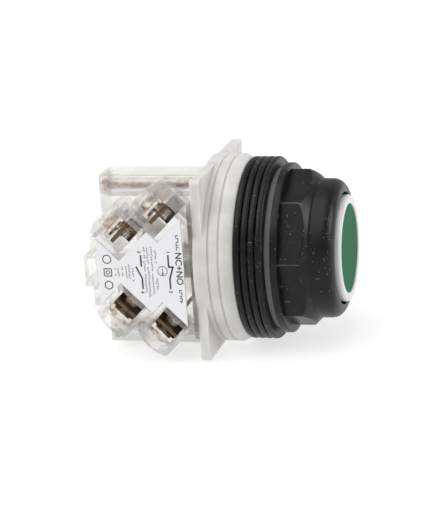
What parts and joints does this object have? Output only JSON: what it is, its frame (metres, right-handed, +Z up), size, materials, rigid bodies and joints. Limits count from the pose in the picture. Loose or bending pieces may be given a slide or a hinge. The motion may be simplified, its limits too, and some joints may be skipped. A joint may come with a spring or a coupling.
{
  "type": "panel push button",
  "caption": "Guarded flush push button for a round panel hole, with a clear contact block carrying changeover terminals.",
  "frame": {"origin": "on the button's axis, in the plane where the panel stack meets the operator body", "axes": "+X out of the panel along the button's axis, +Z up, the contact block's label faces -Y"},
  "size_m": [0.0628, 0.0478, 0.0478],
  "materials": {
    "white_nylon": "translucent natural nylon, satin",
    "black_plastic": "moulded, satin with a fine grain",
    "black_rubber": "moulded rubber, satin",
    "grey_washer": "plain moulded, satin",
    "white_cap": "smooth moulded",
    "green_insert": "fine satin face",
    "stem_plastic": "plain moulded",
    "zinc_steel": "zinc plated with warm passivation",
    "spring_steel": "drawn wire",
    "brass": "machined",
    "bar_metal": "stamped, tarnished",
    "silver": "polished contact tip",
    "clear_plastic": "clear polycarbonate, glossy with warm edges",
    "label_card": "printed label, satin",
    "carrier_plastic": "plain moulded"
  },
  "bodies": {
    "frame": {"operator_body": "white_nylon", "threaded_inserts": "brass", "cap_seal": "black_rubber", "stem_seal": "black_rubber", "return_spring": "spring_steel", "block_base": "clear_plastic", "block_cover": "clear_plastic", "label_plate": "label_card", "cover_pins": "clear_plastic", "block_screws": "zinc_steel", "carrier_spring": "spring_steel", "fixed_tips": "silver", "panel_gasket_1": "black_rubber", "terminal_bar_1": "bar_metal", "panel_gasket_2": "black_rubber", "terminal_bar_2": "bar_metal", "panel_gasket_3": "black_rubber", "terminal_bar_3": "bar_metal", "panel_gasket_4": "black_rubber", "terminal_bar_4": "bar_metal"},
    "push_button": {"button_cap": "white_cap", "color_insert": "green_insert", "button_stem": "stem_plastic", "push_plate": "stem_plastic", "push_plate_screw": "zinc_steel"},
    "carrier": {"contact_carrier": "carrier_plastic", "nc_bridge_spring": "spring_steel", "no_bridge_spring": "spring_steel"},
    "nc_contact": {"nc_bridge": "brass", "nc_bridge_tips": "silver"},
    "no_contact": {"no_bridge": "brass", "no_bridge_tips": "silver"},
    "washer": {"thrust_washer": "grey_washer"},
    "nut": {"ring_nut": "black_plastic"},
    "clamp_1": {"saddle_clamp_1": "zinc_steel"},
    "screw_1": {"terminal_screw_1": "zinc_steel"},
    "clamp_2": {"saddle_clamp_2": "zinc_steel"},
    "screw_2": {"terminal_screw_2": "zinc_steel"},
    "clamp_3": {"saddle_clamp_3": "zinc_steel"},
    "screw_3": {"terminal_screw_3": "zinc_steel"},
    "clamp_4": {"saddle_clamp_4": "zinc_steel"},
    "screw_4": {"terminal_screw_4": "zinc_steel"}
  },
  "joints": [
    {"name": "button_press", "type": "slide", "parent": "frame", "child": "push_button", "axis": [-1, 0, 0], "range_m": [0, 0.0055], "stiffness_N_per_m": 900, "springref_m": -0.005, "deforming": ["return_spring"]},
    {"name": "carrier_slide", "type": "slide", "parent": "frame", "child": "carrier", "axis": [-1, 0, 0], "range_m": [0, 0.00551], "deforming": ["carrier_spring"]},
    {"name": "nc_bridge_slide", "type": "slide", "parent": "frame", "child": "nc_contact", "axis": [-1, 0, 0], "range_m": [0, 0.00431], "deforming": ["nc_bridge_spring"]},
    {"name": "no_bridge_slide", "type": "slide", "parent": "frame", "child": "no_contact", "axis": [-1, 0, 0], "range_m": [0, 0.00351], "deforming": ["no_bridge_spring"]},
    {"name": "nut_advance", "type": "slide", "parent": "frame", "child": "washer", "axis": [1, 0, 0], "range_m": [0, 0.00301]},
    {"name": "nut_turn", "type": "hinge", "parent": "washer", "child": "nut", "pos_m": [0, 0, 0], "axis": [1, 0, 0], "range_deg": [0, 720]},
    {"name": "clamp_lift_1", "type": "slide", "parent": "frame", "child": "clamp_1", "axis": [-0.7071, 0, 0.7071], "range_m": [-0.00065, 0.0011]},
    {"name": "terminal_screw_turn_1", "type": "hinge", "parent": "clamp_1", "child": "screw_1", "pos_m": [-0.0186, -0.0179, 0.015], "axis": [-0.7071, 0, 0.7071], "range_deg": [-391, 661]},
    {"name": "clamp_lift_2", "type": "slide", "parent": "frame", "child": "clamp_2", "axis": [-0.7071, 0, -0.7071], "range_m": [-0.00065, 0.0011]},
    {"name": "terminal_screw_turn_2", "type": "hinge", "parent": "clamp_2", "child": "screw_2", "pos_m": [-0.0186, -0.0179, -0.015], "axis": [-0.7071, 0, -0.7071], "range_deg": [-391, 661]},
    {"name": "clamp_lift_3", "type": "slide", "parent": "frame", "child": "clamp_3", "axis": [-0.7071, 0, 0.7071], "range_m": [-0.00065, 0.0011]},
    {"name": "terminal_screw_turn_3", "type": "hinge", "parent": "clamp_3", "child": "screw_3", "pos_m": [-0.0289, -0.0179, 0.0102], "axis": [-0.7071, 0, 0.7071], "range_deg": [-391, 661]},
    {"name": "clamp_lift_4", "type": "slide", "parent": "frame", "child": "clamp_4", "axis": [-0.7071, 0, -0.7071], "range_m": [-0.00065, 0.0011]},
    {"name": "terminal_screw_turn_4", "type": "hinge", "parent": "clamp_4", "child": "screw_4", "pos_m": [-0.0289, -0.0179, -0.0102], "axis": [-0.7071, 0, -0.7071], "range_deg": [-391, 661]}
  ],
  "couplings": [
    {"joint": "carrier_slide", "follows": "button_press", "ratio": 1},
    {"joint": "nc_bridge_slide", "follows": "button_press", "ratio": 0.78182},
    {"joint": "no_bridge_slide", "follows": "button_press", "ratio": 0.63636},
    {"joint": "nut_advance", "follows": "nut_turn", "m_per_rad": 0.00023873},
    {"joint": "terminal_screw_turn_1", "follows": "clamp_lift_1", "rad_per_m": 10472},
    {"joint": "terminal_screw_turn_2", "follows": "clamp_lift_2", "rad_per_m": 10472},
    {"joint": "terminal_screw_turn_3", "follows": "clamp_lift_3", "rad_per_m": 10472},
    {"joint": "terminal_screw_turn_4", "follows": "clamp_lift_4", "rad_per_m": 10472}
  ]
}
